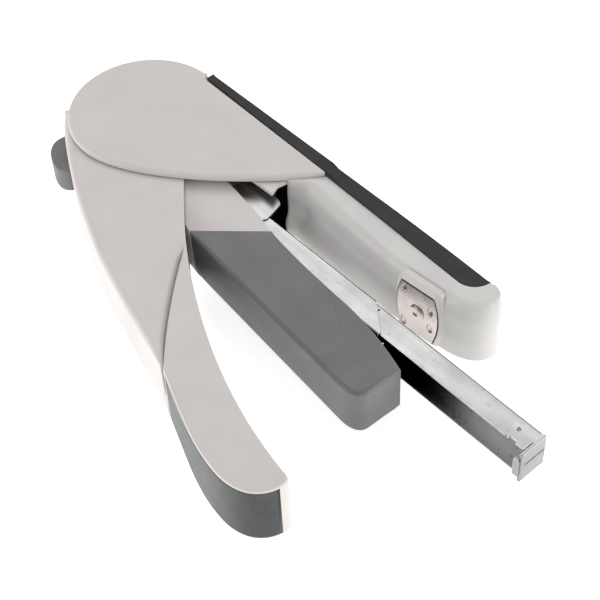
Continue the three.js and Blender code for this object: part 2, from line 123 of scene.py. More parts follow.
def prism(points, low, high):
    """The solid over a plan outline, between two heights."""
    mesh = bmesh.new()
    floor_ring = [mesh.verts.new((x, y, low)) for x, y in without_repeats(points)]
    top_ring = [mesh.verts.new((v.co.x, v.co.y, high)) for v in floor_ring]
    mesh.faces.new(floor_ring)
    mesh.faces.new(top_ring)
    for i, vertex in enumerate(floor_ring):
        j = (i + 1) % len(floor_ring)
        mesh.faces.new((vertex, floor_ring[j], top_ring[j], top_ring[i]))
    bmesh.ops.recalc_face_normals(mesh, faces=mesh.faces)
    return mesh


def block(xs, ys, zs):
    return prism([(xs[0], ys[0]), (xs[1], ys[0]), (xs[1], ys[1]), (xs[0], ys[1])], *zs)


def post(place, radius, low, high, sides=32):
    return prism([polar(radius, 360 * i / sides, place) for i in range(sides)], low, high)


def inward(points):
    """For each point of an anticlockwise outline, the unit vector into it, and the room that a rim has
    there: a rim runs out towards a sharp outer corner, so that it never meets itself."""
    count = len(points)
    places = [Vector(p) for p in points]
    directions, corners, run = [], [], [0.0]
    for i, place in enumerate(places):
        before = (place - places[i - 1]).normalized()
        after = (places[(i + 1) % count] - place).normalized()
        middle = (before + after).normalized()
        directions.append(Vector((-middle.y, middle.x)))
        turn = math.atan2(before.x * after.y - before.y * after.x, before.dot(after))
        if turn > SHARP_TURN:
            corners.append((i, math.tan((math.pi - turn) / 2)))
        run.append(run[-1] + (places[(i + 1) % count] - place).length)
    rooms = []
    for i in range(count):
        spans = [(abs(run[i] - run[c]), slope) for c, slope in corners]
        rooms.append(min([0.8 * slope * min(span, run[-1] - span) for span, slope in spans] or [99]))
    return directions, rooms


def anticlockwise(points):
    ring = without_repeats(points)
    if sum(a[0] * b[1] - b[0] * a[1] for a, b in zip(ring, ring[1:] + ring[:1])) < 0:
        ring.reverse()
    return ring


def skin(levels):
    """The closed solid over a stack of rings, each with the same number of places."""
    mesh = bmesh.new()
    rings = [[mesh.verts.new(place) for place in level] for level in levels]
    for lower, upper in zip(rings, rings[1:]):
        for i in range(len(lower)):
            j = (i + 1) % len(lower)
            mesh.faces.new((lower[i], lower[j], upper[j], upper[i]))
    mesh.faces.new(list(reversed(rings[0])))
    mesh.faces.new(rings[-1])
    bmesh.ops.remove_doubles(mesh, verts=mesh.verts, dist=MERGE)
    return mesh


def slab(points, low, high, top=(0, 0), bottom=(0, 0), steps=5, share=None):
    """The solid over a plan outline, with rounded upper and lower rims of a given inset and drop.
    share(x, y) says how much of the rims a point has."""
    ring = anticlockwise(points)
    directions, rooms = inward(ring)
    sizes = []
    for (x, y), room in zip(ring, rooms):
        part = 1 if share is None else share(x, y)
        sizes.append([(min(inset * part, room), drop) if inset else (0, 0) for inset, drop in (bottom, top)])
    levels = []
    turns = [math.pi / 2 * k / steps for k in range(steps + 1)]
    for side, angles in ((0, list(reversed(turns))), (1, turns)):
        rim = (bottom, top)[side]
        for angle in angles if rim[0] else angles[:1]:
            level = []
            for place, direction, size in zip(ring, directions, sizes):
                inset, drop = size[side][0], rim[1] * (size[side][0] / rim[0] if rim[0] else 0)
                x, y = Vector(place) + direction * inset * (1 - math.cos(angle))
                rise = drop * (1 - math.sin(angle))
                level.append((x, y, high - rise if side else low + rise))
            levels.append(level)
    return skin(levels)


def soften(mesh, width, steps=2, angle=38):
    """Takes the sharpness off every edge that turns by more than the angle."""
    limit = math.radians(angle)
    edges = [e for e in mesh.edges if len(e.link_faces) == 2 and e.calc_face_angle(0) > limit]
    bmesh.ops.bevel(mesh, geom=edges, offset=width, segments=steps, profile=0.5,
                    affect="EDGES", clamp_overlap=True)
    return mesh


def as_object(name, mesh):
    data = bpy.data.meshes.new(name)
    mesh.to_mesh(data)
    mesh.free()
    obj = bpy.data.objects.new(name, data)
    bpy.context.scene.collection.objects.link(obj)
    return obj


def combine(mesh, tools, operation):
    """The mesh joined with the tools, or cut by them."""
    for tool in tools:
        target, other = as_object("target", mesh), as_object("tool", tool)
        modifier = target.modifiers.new("combine", "BOOLEAN")
        modifier.operation = operation
        modifier.solver = "EXACT"
        modifier.object = other
        evaluated = target.evaluated_get(bpy.context.evaluated_depsgraph_get())
        result = bpy.data.meshes.new_from_object(evaluated)
        mesh = bmesh.new()
        mesh.from_mesh(result)
        for obj in (target, other):
            data = obj.data
            bpy.data.objects.remove(obj)
            bpy.data.meshes.remove(data)
        bpy.data.meshes.remove(result)
    bmesh.ops.remove_doubles(mesh, verts=mesh.verts, dist=MERGE)
    bmesh.ops.dissolve_degenerate(mesh, edges=mesh.edges, dist=MERGE)
    return mesh


def cut(mesh, *tools):
    return combine(mesh, tools, "DIFFERENCE")


def join(mesh, *tools):
    return combine(mesh, tools, "UNION")


def turned(mesh, matrix):
    mesh.transform(matrix)
    return mesh


def ball(place, radii, segments, rings):
    """A ball stretched to three radii, which cuts rounded hollows."""
    mesh = bmesh.new()
    bmesh.ops.create_uvsphere(mesh, u_segments=segments, v_segments=rings, radius=1)
    return turned(mesh, Matrix.Translation(place) @ Matrix.Diagonal((*radii, 1)))


def eased(value):
    """A share that leaves 0 and reaches 1 gently."""
    value = min(max(value, 0), 1)
    return value * value * (3 - 2 * value)


def add_piece(name, mesh, body, material, replaces=(), sharp=32):
    """Moves a drawn mesh to the frame and hangs it on its body."""
    mesh.transform(TO_FRAME)
    bmesh.ops.recalc_face_normals(mesh, faces=mesh.faces)
    obj = as_object(name, mesh)
    obj.data.shade_smooth()
    obj.data.set_sharp_from_angle(angle=math.radians(sharp))
    normals = obj.modifiers.new("normals", "WEIGHTED_NORMAL")
    normals.keep_sharp = True
    normals.weight = 100
    obj.data.materials.append(material)
    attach(obj, body)
    if replaces:
        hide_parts(*replaces)
    return obj


# ---------------------------------------------------------------- materials

class Surface:
    """A procedural material, built up in layers on one Principled shader."""

    def __init__(self, name, roughness, metallic=0.0):
        self.material = bpy.data.materials.new(name)
        self.material.use_nodes = True
        self.nodes = self.material.node_tree.nodes
        self.shader = self.nodes["Principled BSDF"]
        self.shader.inputs["Metallic"].default_value = metallic
        self.shader.inputs["Roughness"].default_value = roughness
        self.place = self.nodes.new("ShaderNodeTexCoord").outputs["Object"]
        self.color = None
        self.height = None

    def link(self, source, target):
        self.material.node_tree.links.new(source, target)

    def noise(self, scale, detail=3.0, stretch=(1, 1, 1)):
        mapping = self.nodes.new("ShaderNodeMapping")
        mapping.inputs["Scale"].default_value = stretch
        self.link(self.place, mapping.inputs["Vector"])
        noise = self.nodes.new("ShaderNodeTexNoise")
        noise.inputs["Scale"].default_value = scale
        noise.inputs["Detail"].default_value = detail
        self.link(mapping.outputs["Vector"], noise.inputs["Vector"])
        return noise.outputs["Fac"]

    def ramp(self, factor, stops):
        ramp = self.nodes.new("ShaderNodeValToRGB")
        elements = ramp.color_ramp.elements
        while len(elements) < len(stops):
            elements.new(0.5)
        for element, (position, color) in zip(elements, stops):
            element.position = position
            element.color = (*color, 1)
        self.link(factor, ramp.inputs["Fac"])
        return ramp.outputs["Color"]

    def mottle(self, dark, light, scale):
        """Slow drift between two close tones."""
        self.color = self.ramp(self.noise(scale), [(0.35, dark), (0.65, light)])
        return self

    def over(self, factor, color, strength):
        """Lays a colour over what is there, by a factor."""
        amount = self.nodes.new("ShaderNodeMath")
        amount.operation = "MULTIPLY"
        amount.inputs[1].default_value = strength
        self.link(factor, amount.inputs[0])
        mix = self.nodes.new("ShaderNodeMix")
        mix.data_type = "RGBA"
        self.link(amount.outputs[0], mix.inputs["Factor"])
        self.link(self.color, mix.inputs["A"])
        mix.inputs["B"].default_value = (*color, 1)
        self.color = mix.outputs["Result"]
        return self

    def specks(self, color, scale, share, strength):
        """Small marks of another tone on a share of the surface."""
        marks = self.ramp(self.noise(scale, 1.0), [(share, (0, 0, 0)), (share + 0.06, (1, 1, 1))])
        return self.over(marks, color, strength)

    def worn_edges_and_highlight(self, color, radius, strength):
        """Rubbed edges with a painted highlight: another tone where a rounded normal leaves the true one."""
        bevel = self.nodes.new("ShaderNodeBevel")
        bevel.samples = 4
        bevel.inputs["Radius"].default_value = radius
        geometry = self.nodes.new("ShaderNodeNewGeometry")
        product = self.nodes.new("ShaderNodeVectorMath")
        product.operation = "DOT_PRODUCT"
        self.link(bevel.outputs["Normal"], product.inputs[0])
        self.link(geometry.outputs["Normal"], product.inputs[1])
        edge = self.ramp(product.outputs["Value"], [(0.86, (1, 1, 1)), (0.985, (0, 0, 0))])
        return self.over(edge, color, strength)

    def painted_corner_shade(self, color, distance, strength):
        """Painted shade: darker where another surface is close, from an ambient-occlusion mask."""
        occlusion = self.nodes.new("ShaderNodeAmbientOcclusion")
        occlusion.samples = 4
        occlusion.inputs["Distance"].default_value = distance
        near = self.ramp(occlusion.outputs["AO"], [(0.25, (1, 1, 1)), (0.8, (0, 0, 0))])
        return self.over(near, color, strength)

    def painted_shading_along(self, color, start, end, strength):
        """Painted light and shade: another tone that grows along X, between two places in plan."""
        parts = self.nodes.new("ShaderNodeSeparateXYZ")
        self.link(self.place, parts.inputs[0])
        span = self.nodes.new("ShaderNodeMapRange")
        span.interpolation_type = "SMOOTHSTEP"
        span.inputs["From Min"].default_value = PIVOT.x + start * MM
        span.inputs["From Max"].default_value = PIVOT.x + end * MM
        self.link(parts.outputs["X"], span.inputs["Value"])
        return self.over(span.outputs["Result"], color, strength)

    def grain(self, scale, depth, detail=2.0, stretch=(1, 1, 1)):
        """Adds a layer of relief, depth in metres."""
        amount = self.nodes.new("ShaderNodeMath")
        amount.operation = "MULTIPLY_ADD"
        amount.inputs[1].default_value = depth
        self.link(self.noise(scale, detail, stretch), amount.inputs[0])
        if self.height is not None:
            self.link(self.height, amount.inputs[2])
        self.height = amount.outputs[0]
        return self

    def patchy_gloss(self, low, high, scale, stretch=(1, 1, 1)):
        span = self.nodes.new("ShaderNodeMapRange")
        span.inputs["From Min"].default_value = 0.3
        span.inputs["From Max"].default_value = 0.7
        span.inputs["To Min"].default_value = low
        span.inputs["To Max"].default_value = high
        self.link(self.noise(scale, 3.0, stretch), span.inputs["Value"])
        self.link(span.outputs["Result"], self.shader.inputs["Roughness"])
        return self

    def finish(self, specular=0.5, coat=0.0, sheen=0.0):
        self.link(self.color, self.shader.inputs["Base Color"])
        self.shader.inputs["Specular IOR Level"].default_value = specular
        self.shader.inputs["Coat Weight"].default_value = coat
        self.shader.inputs["Coat Roughness"].default_value = 0.25
        self.shader.inputs["Sheen Weight"].default_value = sheen
        if self.height is not None:
            bump = self.nodes.new("ShaderNodeBump")
            bump.inputs["Distance"].default_value = 1.0
            self.link(self.height, bump.inputs["Height"])
            self.link(bump.outputs["Normal"], self.shader.inputs["Normal"])
        return self.material


def tone(hexadecimal):
    """A linear colour from an sRGB hex triple."""
    parts = [int(hexadecimal[i:i + 2], 16) / 255 for i in (0, 2, 4)]
    return tuple(c / 12.92 if c <= 0.04045 else ((c + 0.055) / 1.055) ** 2.4 for c in parts)


def moulded(name, dark, light, edge, roughness, grain_depth=6e-6):
    """Moulded plastic: fine spark-eroded grain, slow colour drift, slightly polished edges with a painted
    highlight, and painted shade in the corners.
    """
    surface = Surface(name, roughness)
    surface.mottle(tone(dark), tone(light), 55)
    surface.specks(tone(dark), 900, 0.62, 0.25)
    # Rubbed edges with a painted highlight, and painted shade where surfaces come close.
    surface.worn_edges_and_highlight(tone(edge), 0.0008, 0.45)
    surface.painted_corner_shade(tone("6f6a63"), 0.0025, 0.3)
    surface.patchy_gloss(roughness - 0.05, roughness + 0.06, 120)
    surface.grain(2600, grain_depth).grain(300, grain_depth * 1.5)
    return surface.finish(specular=0.45)


GRIP_TIP_SHADE = (138, 163)


def rubber(name, dark, light, edge, roughness, tip=None):
    """Matt rubber with a fine relief and a painted edge highlight; a third tone, if given, is painted shade
    that comes in towards the leaf's tip.
    """
    surface = Surface(name, roughness)
    surface.mottle(tone(dark), tone(light), 70)
    # Painted shade that darkens the rubber towards the leaf's tip.
    if tip:
        surface.painted_shading_along(tone(tip), *GRIP_TIP_SHADE, 0.85)
    surface.specks(tone(light), 1400, 0.6, 0.18)
    # Rubbed edges with a painted highlight.
    surface.worn_edges_and_highlight(tone(edge), 0.0007, 0.35)
    surface.patchy_gloss(roughness - 0.06, roughness + 0.08, 180)
    surface.grain(3200, 1.4e-5).grain(700, 1.2e-5)
    return surface.finish(specular=0.35, sheen=0.05)


ROLLED = (0.08, 1, 1)


def sheet_metal(name, dark, light, roughness, along=ROLLED, stain="6d6a66"):
    """Plated sheet steel: rolling marks along X, faint stains, sheared edges made brighter by a painted
    highlight, and painted shade in the corners.
    """
    surface = Surface(name, roughness, metallic=1.0)
    surface.mottle(tone(dark), tone(light), 90)
    surface.specks(tone(stain), 420, 0.66, 0.25)
    # Sheared edges with a painted highlight, and painted shade where surfaces come close.
    surface.worn_edges_and_highlight(tone("f4f2f0"), 0.0003, 0.5)
    surface.painted_corner_shade(tone("3a3734"), 0.002, 0.45)
    surface.patchy_gloss(roughness - 0.06, roughness + 0.08, 260, along)
    surface.grain(1500, 4e-6, stretch=along).grain(240, 5e-6)
    return surface.finish()


CHANNEL_SHADING = (150, 180)


def shaded_steel(name):
    """The inside of the staple channel, a shaded copy of the steel: painted shade dark towards the head, and
    painted light brighter at the open front.
    """
    surface = Surface(name, 0.3, metallic=1.0)
    surface.mottle(tone("1d1d1f"), tone("29292b"), 120)
    # Painted light towards the open front, over the painted shade towards the head.
    surface.painted_shading_along(tone("d6d6d6"), *CHANNEL_SHADING, 0.97)
    surface.specks(tone("0f0f10"), 500, 0.62, 0.3)
    surface.patchy_gloss(0.26, 0.42, 260, ROLLED)
    surface.grain(1500, 4e-6, stretch=ROLLED)
    return surface.finish()


def deep_shadow(name):
    """Near-black painted shadow, for the bottom of a cavity and for a dark line along the guide's upper
    edge.
    """
    surface = Surface(name, 0.85)
    surface.mottle(tone("0c0c0c"), tone("131312"), 90)
    surface.grain(1200, 1e-5)
    return surface.finish(specular=0.1)


def wire_steel(name):
    """Bright drawn wire and small steel pieces, with painted shade where they meet others."""
    surface = Surface(name, 0.3, metallic=1.0)
    surface.mottle(tone("8b8c8e"), tone("a9aaac"), 300)
    surface.specks(tone("5a5654"), 800, 0.6, 0.4)
    surface.painted_corner_shade(tone("2b2927"), 0.002, 0.6)
    surface.patchy_gloss(0.24, 0.42, 500)
    surface.grain(2500, 4e-6)
    return surface.finish()


IVORY = moulded("ivory_plastic_look", "dbd5d1", "ded9d6", "f3eeeb", 0.42)
WHITE = moulded("white_plastic_look", "dad7d5", "dfddda", "efedeb", 0.36)
GREY = moulded("grey_plastic_look", "6f6f6f", "747474", "9c9c9c", 0.42)
BEIGE = moulded("beige_plastic_look", "b5aa98", "c1b6a4", "d2c8b8", 0.5)
# The grip's tip tone is painted shade.
GRIP = rubber("grip_rubber_look", "6c6d6e", "727373", "828383", 0.58, tip="343535")
KEY = rubber("key_rubber_look", "717273", "797a7b", "8c8d8e", 0.5)
SOLE = rubber("sole_rubber_look", "333334", "383839", "454546", 0.7)
NICKEL = sheet_metal("nickel_steel_look", "9a9a9a", "a6a6a5", 0.3)
ANVIL_STEEL = sheet_metal("anvil_steel_look", "c9c1bd", "d9d0cc", 0.26, along=(1, 1, 1))
SHADED_INNER_STEEL = shaded_steel("shaded_inner_steel_look")
SHADOW = deep_shadow("painted_shadow_look")
SPRING = wire_steel("spring_steel_look")

SLOT_LOOKS = {
    "ivory_plastic": IVORY,
    "white_plastic": WHITE,
    "grey_plastic": GREY,
    "beige_plastic": BEIGE,
    "grip_rubber": GRIP,
    "sole_rubber": SOLE,
    "nickel_steel": NICKEL,
    "spring_steel": SPRING,
}


def dress_cad_nodes():
    """Every CAD node that stays in view gets the look of its slot."""
    slots = {s["node"]: s["material_slot"] for s in frame["record"]["subparts"]}
    for name, obj in frame["nodes"].items():
        look = SLOT_LOOKS[slots[name]]
        for place in obj.material_slots:
            place.material = look


# ---------------------------------------------------------------- base

TIP = (74, 26)
STRIP_START = (2.2, 28.4)
SOLE_FRONT = 152.3
SOLE_STEP = 1.6
ARM_STEP = 2.0


def cheek_outline():
    return Outline(0, HEAD_RADIUS).arc(HEAD_RADIUS, 90, 278, steps=90).curve(
        (27.3, -27.2), (61.3, 6.5), TIP, steps=60).line(STRIP_START).points


def cheek(side):
    """A side cover: 1 for the upper one, -1 for the lower one."""
    low, high = sorted((side * CHEEK_INNER, side * CHEEK_OUTER))
    outer, inner = (1.8, 1.5), (0.25, 0.25)
    top, bottom = (outer, inner) if side > 0 else (inner, outer)
    return slab(cheek_outline(), low, high, top, bottom, 6)


def lower_cheek():
    holes = [post(p, SCREW_BORE, -17, -12, 20) for p in SCREW_PLACES]
    counterbores = [post(p, SCREW_HEAD_BORE, -17, -14.6, 32) for p in SCREW_PLACES]
    return cut(cheek(-1), *holes, *counterbores)


def sole_edge(grow=0.0):
    """The sole's edge against the arm, from the cheek's tip to the front of the sole."""
    edge = Outline(TIP[0], TIP[1] + 0.3 - grow)
    edge.line((105, 25.4 - grow), (136, 24.1 - grow), (144.5, 23.8 - grow))
    return edge.curve((148.6, 23.8 - grow), (151.8 + grow, 26.8), (SOLE_FRONT + grow, 31)).points


def spread(points, longest):
    """The same run of points with none further apart than the longest step."""
    run = [points[0]]
    for a, b in zip(points, points[1:]):
        count = max(1, math.ceil(math.dist(a, b) / longest))
        run += [(a[0] + (b[0] - a[0]) * i / count, a[1] + (b[1] - a[1]) * i / count)
                for i in range(1, count + 1)]
    return run


RAMP_REAR, RAMP_FRONT = 72.4, 75.6


def sole_half(x):
    """Half the sole's width: wide between the cheeks, a short ramp, then narrowing to the front."""
    front = 15.0 - 1.3 * max(0, (x - 100) / 52) ** 2
    return CHEEK_OUTER + (front - CHEEK_OUTER) * eased((x - RAMP_REAR) / (RAMP_FRONT - RAMP_REAR))


def sole():
    inner = [(STRIP_START[0], STRIP_START[1] + 0.3)] + sole_edge()
    outer = [(x, SOLE_Y) for x in (SOLE_FRONT, RAMP_FRONT, RAMP_REAR, STRIP_START[0])]
    ring = spread(inner + outer[:1], SOLE_STEP) + spread(outer, SOLE_STEP)[1:]
    mesh = slab(ring, -CHEEK_OUTER, CHEEK_OUTER, (0.5, 0.5), (0.5, 0.5), 3)
    for vertex in mesh.verts:
        vertex.co.z *= sole_half(vertex.co.x) / CHEEK_OUTER
    return mesh


def arm_face():
    """The arm's edge: the wall across the magazine's end, the side under the anvil, and the nose."""
    def seat(x):
        return ANVIL_PLACE[1] + (x - ANVIL_PLACE[0]) * math.tan(ANVIL_SLOPE)
    face = Outline(65.6, 21).line((65.1, 16.4)).curve((64.5, 13.6), (67.4, 14.7), steps=10)
    face.line((72.4, 16.9)).curve((98, 13.2), (SEAT_REAR, seat(SEAT_REAR)), steps=30)
    face.line((134, seat(134)), (147, seat(147)))
    face.curve((154, 15.3), (161.4, 18.5), (161.8, 25.5), steps=24)
    return face.curve((161.9, 29.6), (158.6, SOLE_Y), (154, SOLE_Y), steps=14).points


SEAT_REAR = 122
NOSE_REAR = 150
ROLL_HEIGHT = 5
LOWER_RIM = (2.2, 2)
TOE_TOP, TOE_RUN, TOE_Y = -1, 9, 13.4
ARM_LEVELS = [-ARM_HALF, -13.9, -13.6, -13.1, -12.4, -11.6, -10.4, -9, -7.4, -5.6, -3.6, TOE_TOP, 2,
              ROLL_HEIGHT, 6.6, 8.1, 9.5, 10.7, 11.7, 12.5, 13.1, 13.5, 13.8, 13.95, ARM_HALF]


def rim_depth(reach, drop):
    """How far a quarter-round rim has come in, at a share of its drop."""
    return reach * (1 - math.sqrt(max(0, 1 - min(max(drop, 0), 1) ** 2)))


def arm_roll(x):
    """How far the upper edge rolls in: little at the end wall, most beside it, less at the anvil."""
    return 0.8 + 5.4 * eased((x - 66) / 12) - 1.7 * eased((x - 70) / 60)


def arm_depth(x, y, z, room):
    """How far the arm's face has come in from its edge in plan, at one height."""
    share = min(1, max(0, SOLE_Y - y) / 6) if x > NOSE_REAR else 1
    above = rim_depth(arm_roll(x) * share, (z - ROLL_HEIGHT) / (ARM_HALF - ROLL_HEIGHT))
    inset, drop = LOWER_RIM
    below = rim_depth(inset * share, (drop - ARM_HALF - z) / drop)
    depth = min(above + below, room)
    if x < SEAT_REAR:
        depth -= max(0, y - TOE_Y) * eased((TOE_TOP - z) / TOE_RUN)
    return depth


def arm():
    """Its face rolls over above, and spreads to a low toe below; it stays square at the sole."""
    face = spread(without_repeats(arm_face()), ARM_STEP)
    back = spread(list(reversed(sole_edge(0.12))), ARM_STEP) + [(65.6, 26.2)]
    on_face = set(face)
    ring = anticlockwise(face + back)
    levels = []
    for z in ARM_LEVELS:
        level = []
        for (x, y), direction, room in zip(ring, *inward(ring)):
            depth = arm_depth(x, y, z, room) if (x, y) in on_face else 0
            level.append((x + direction.x * depth, y + direction.y * depth, z))
        levels.append(level)
    cheek_room = [prism(scaled(cheek_outline(), 1.004), low, high)
                  for low, high in ((CHEEK_INNER - 0.1, 18), (-18, 0.1 - CHEEK_INNER))]
    return cut(skin(levels), *cheek_room)


def scaled(points, factor):
    return [(x * factor, y * factor) for x, y in points]


WEB_INNER_RADIUS = 27.9


def arm_web():
    """The wall between the cheeks: round the head and along the sole, with a boss at its end."""
    half = CHEEK_INNER - 0.3
    strip = [(0, 22), (62, 21.5), (62, 26), (0, 28.3)]
    boss = [(56.4, 6.2), (66.2, 6.6), (64.6, 10.9), (65.4, 14.6), (66, 18), (50, 18), (50, 6)]
    outer = HEAD_RADIUS - 0.3
    web = Outline(*polar(outer, 84)).arc(outer, 84, 214, steps=60)
    web = web.arc(WEB_INNER_RADIUS, 214, 84, steps=60).points
    shield = Outline(*polar(outer, 213)).arc(outer, 213, 230).arc(WEB_INNER_RADIUS, 230, 213).points
    mesh = join(prism(web, -half, half), prism(shield, -10.8, 10.8), prism(strip, -half, half),
                prism(boss, 11.4, half))
    return cut(mesh, *[post(p, SCREW_BORE, -20, -5, 16) for p in SCREW_PLACES])


def cavity_shadow_sheets():
    """Near-black sheets of painted shadow at the bottom and back of the cavity between the cheeks, behind
    the magazine's end.
    """
    back = prism([(44, 21.0), (66.2, 20.6), (66.2, 21.4), (44, 21.8)], -12.9, 11)
    side = prism([(64.9, 17.6), (66.2, 17.6), (66.2, 21), (64.9, 21)], -12.9, 11)
    bottom = prism([(46, 5), (64, 5), (64.8, 14.2), (66, 21), (46, 21.6)], -13.25, -12.95)
    return join(back, side, bottom)


def anvil_frame(mesh):
    """Turns a piece drawn flat, with +Z as its outer side, onto the sloping seat."""
    seat = Matrix.Translation((*ANVIL_PLACE, 0)) @ Matrix.Rotation(ANVIL_SLOPE, 4, "Z")
    return turned(mesh, seat @ Matrix.Rotation(math.pi / 2, 4, "X"))


ANVIL_HALF = (7.15, 11.4)
ANVIL_BULGE = 11.3
ANVIL_TOP = 1.5
RIVET_RADIUS = 1.9
PITS = [(-6, 8.6, 2.5), (-6, -8.6, 2.5), (6, 4.3, 2.4), (6, -4.3, 2.4)]


def barrel():
    """The anvil's outline: straight ends and bulging sides."""
    w, l = ANVIL_HALF
    return Outline(-w, -l).line((w, -l)).curve((ANVIL_BULGE, 0), (w, l), steps=24).line(
        (-w, l)).curve((-ANVIL_BULGE, 0), (-w, -l), steps=24).points


def anvil_plate():
    """A plate with a wide and a narrow pair of pits that bend the staple's legs."""
    plate = slab(barrel(), 0.3, ANVIL_TOP, top=(0.3, 0.3), steps=3)
    pits = [ball((x, y, ANVIL_TOP + 0.1), (1.35, length, 1.1), 28, 16) for x, y, length in PITS]
    return anvil_frame(cut(plate, *pits, post((0, 0), RIVET_RADIUS + 0.3, -1, 3)))


def grown(points, distance, corner_steps=8):
    """An anticlockwise convex outline moved outwards, with round corners."""
    ring = []
    for i, place in enumerate(points):
        before = Vector(place) - Vector(points[i - 1])
        after = Vector(points[(i + 1) % len(points)]) - Vector(place)
        start = math.atan2(-before.x, before.y)
        turn = math.atan2(before.x * after.y - before.y * after.x, before.dot(after))
        count = corner_steps if turn > SHARP_TURN else 1
        for k in range(count):
            angle = start + turn * (k + 0.5) / count
            ring.append((place[0] + distance * math.cos(angle), place[1] + distance * math.sin(angle)))
    return ring


def anvil_seat():
    """A soft raised lip round the plate, level with its face."""
    profile = [(0.35, -2.5), (0.35, 0.95), (0.5, 1.15), (0.8, 1.2), (1.25, 0.98), (1.7, 0.5),
               (2.2, 0.12), (2.6, -0.3), (2.6, -2.5)]
    base = anticlockwise(barrel())
    mesh = bmesh.new()
    levels = [[mesh.verts.new((x, y, z)) for x, y in grown(base, distance)] for distance, z in profile]
    for a, b in zip(levels, levels[1:] + levels[:1]):
        for i in range(len(a)):
            j = (i + 1) % len(a)
            mesh.faces.new((a[i], a[j], b[j], b[i]))
    return anvil_frame(mesh)


def anvil_rivet():
    head = slab([polar(3.1, 9 * i) for i in range(40)], 1.55, 2.3, top=(0.6, 0.5), steps=4)
    dimple = ball((0, 0, 2.75), (1.7, 1.7, 0.9), 24, 12)
    return anvil_frame(join(cut(head, dimple), post((0, 0), RIVET_RADIUS, -4, 1.6, 24)))


def build_base():
    add_piece("cheek_upper_panel", cheek(1), "base", IVORY, ["upper_cheek"])
    add_piece("cheek_lower_panel", lower_cheek(), "base", IVORY, ["lower_cheek"])
    add_piece("sole_strip", sole(), "base", SOLE, ["sole_pad"])
    add_piece("arm_body", arm(), "base", WHITE, ["base_arm"])
    add_piece("arm_web", soften(arm_web(), 0.3), "base", WHITE)
    add_piece("cavity_shadow_sheets", cavity_shadow_sheets(), "base", SHADOW)
    add_piece("anvil_face", anvil_plate(), "anvil", ANVIL_STEEL, ["anvil_plate"])
    add_piece("anvil_seat", anvil_seat(), "base", WHITE)
    add_piece("anvil_rivet_head", anvil_rivet(), "base", ANVIL_STEEL, ["anvil_rivet"])


# ---------------------------------------------------------------- head and magazine

COVER_REAR = ((58.4, -26.2), (79.2, -4.9))
CREASE = ((105.5, -4.8), (126.5, -15), (150, -31.5), (159, -24.5))


def head_frame():
    shape = Outline(47, 0.6).line((9, 9.2)).arc(13, 45, 262, steps=40).line(
        (20, -17.5), (COVER_REAR[0][0] - 0.3, COVER_REAR[0][1]),
        (COVER_REAR[1][0] - 0.3, COVER_REAR[1][1]), (65.3, -2)).points
    mesh = slab(shape, -FRAME_HALF, FRAME_HALF, (0.5, 0.5), (0.5, 0.5), 4)
    inner = FRAME_HALF - FRAME_WALL
    lever_room = prism([(-14, -14), (38, -40), (38, -10.2), (38, 14), (-14, 14)], -inner, inner)
    return cut(mesh, block((36, 100), (-9.9, 12), (-inner, inner)), lever_room,
               block((30, 100), (-23.5, -5), (-3, 3)), post((0, 0), PIN_BORE, -12, 12))


def cover_outline():
    return Outline(*COVER_REAR[0]).line((61, -27.0), (70, -27.9), (147, -34.6)).curve(
        (152, -35), (156, -33.5), (156, -29.5), steps=14).line((156.3, -15.3)).curve(
        (140, -9.8), (124, -8.9)).curve((97, -7.8), COVER_REAR[1], steps=24).points


def head_cover():
    """Its rims are wide on the handle's side and narrow on the magazine's."""
    def share(_x, y):
        return 0.4 + 0.6 * eased((-12 - y) / 10)
    rim = (1.9, 1.5)
    outline = spread(without_repeats(cover_outline()), 4)
    mesh = slab(outline, -FRAME_HALF, FRAME_HALF, rim, rim, 7, share)
    inner = FRAME_HALF - FRAME_WALL
    hollow = [(65, -25.4), (146, -32.4), (153.6, -31.6), (154, -22), (154, 0), (60, 0), (60, -10)]
    rear_way = [(50, -24.4), (80, -25), (80, 0), (50, 0)]
    return cut(mesh, prism(hollow, -inner, inner), prism(rear_way, -3, 3), *cover_slopes())


def cover_slopes():
    """What is taken off above and below: a fine groove along a long curved crease, and a thin wedge
    beyond it, so that the face leans down a little there."""
    crease = Outline(*CREASE[0]).curve(*CREASE[1:], steps=20).points
    fall = ((0, 0, FRAME_HALF), (3, 24, FRAME_HALF - 2.6), (3, 24, 14), (0, 0, 14))
    above = FRAME_HALF + 0.1
    groove = ((-0.2, -0.3, above), (0, 0, FRAME_HALF - 0.14), (0.2, 0.3, above))
    tools = []
    for side in (1, -1):
        for profile in (fall, groove):
            tool = skin([[(x + dx, y + dy, side * z) for dx, dy, z in profile] for x, y in crease])
            bmesh.ops.recalc_face_normals(tool, faces=tool.faces)
            tools.append(tool)
    return tools


def bent_channel(half, web_y, open_y, x0, x1, radius=1.1):
    """Sheet steel folded to a U: two walls along Y and a web, with rounded folds."""
    way = 1 if open_y > web_y else -1
    def half_section(reach, fold, thick):
        corner_y, corner_z = web_y + way * (fold + thick), reach - fold
        points = [(open_y, reach)]
        for i in range(7):
            angle = math.pi / 2 * i / 6
            points.append((corner_y - way * fold * math.sin(angle), corner_z + fold * math.cos(angle)))
        return points
    outer = half_section(half, radius, 0.0)
    inner = half_section(half - STEEL, radius - STEEL, STEEL)
    ring = outer + [(y, -z) for y, z in reversed(outer)]
    ring += [(y, -z) for y, z in inner] + list(reversed(inner))
    drawn_to_plan = Matrix(((0, 0, 1, 0), (1, 0, 0, 0), (0, 1, 0, 0), (0, 0, 0, 1)))
    return turned(prism(ring, x0, x1), drawn_to_plan)


def magazine_guide():
    """The outer channel, with a slanted front and a fine rebate along its upper edge."""
    guide = bent_channel(GUIDE_HALF, -9.5, 1.0, 38, 139)
    rear_step = block((37, 60), (-4.4, 3), (-9, 9))
    slant = prism([(127.3, 1.1), (139.2, -8), (141, -8), (141, 3), (127.3, 3)], -9, 9)
    rebate = block((61, 129), (0.55, 1.4), (7.9, 8.4))
    return soften(cut(guide, rear_step, slant, rebate), 0.1, 1)


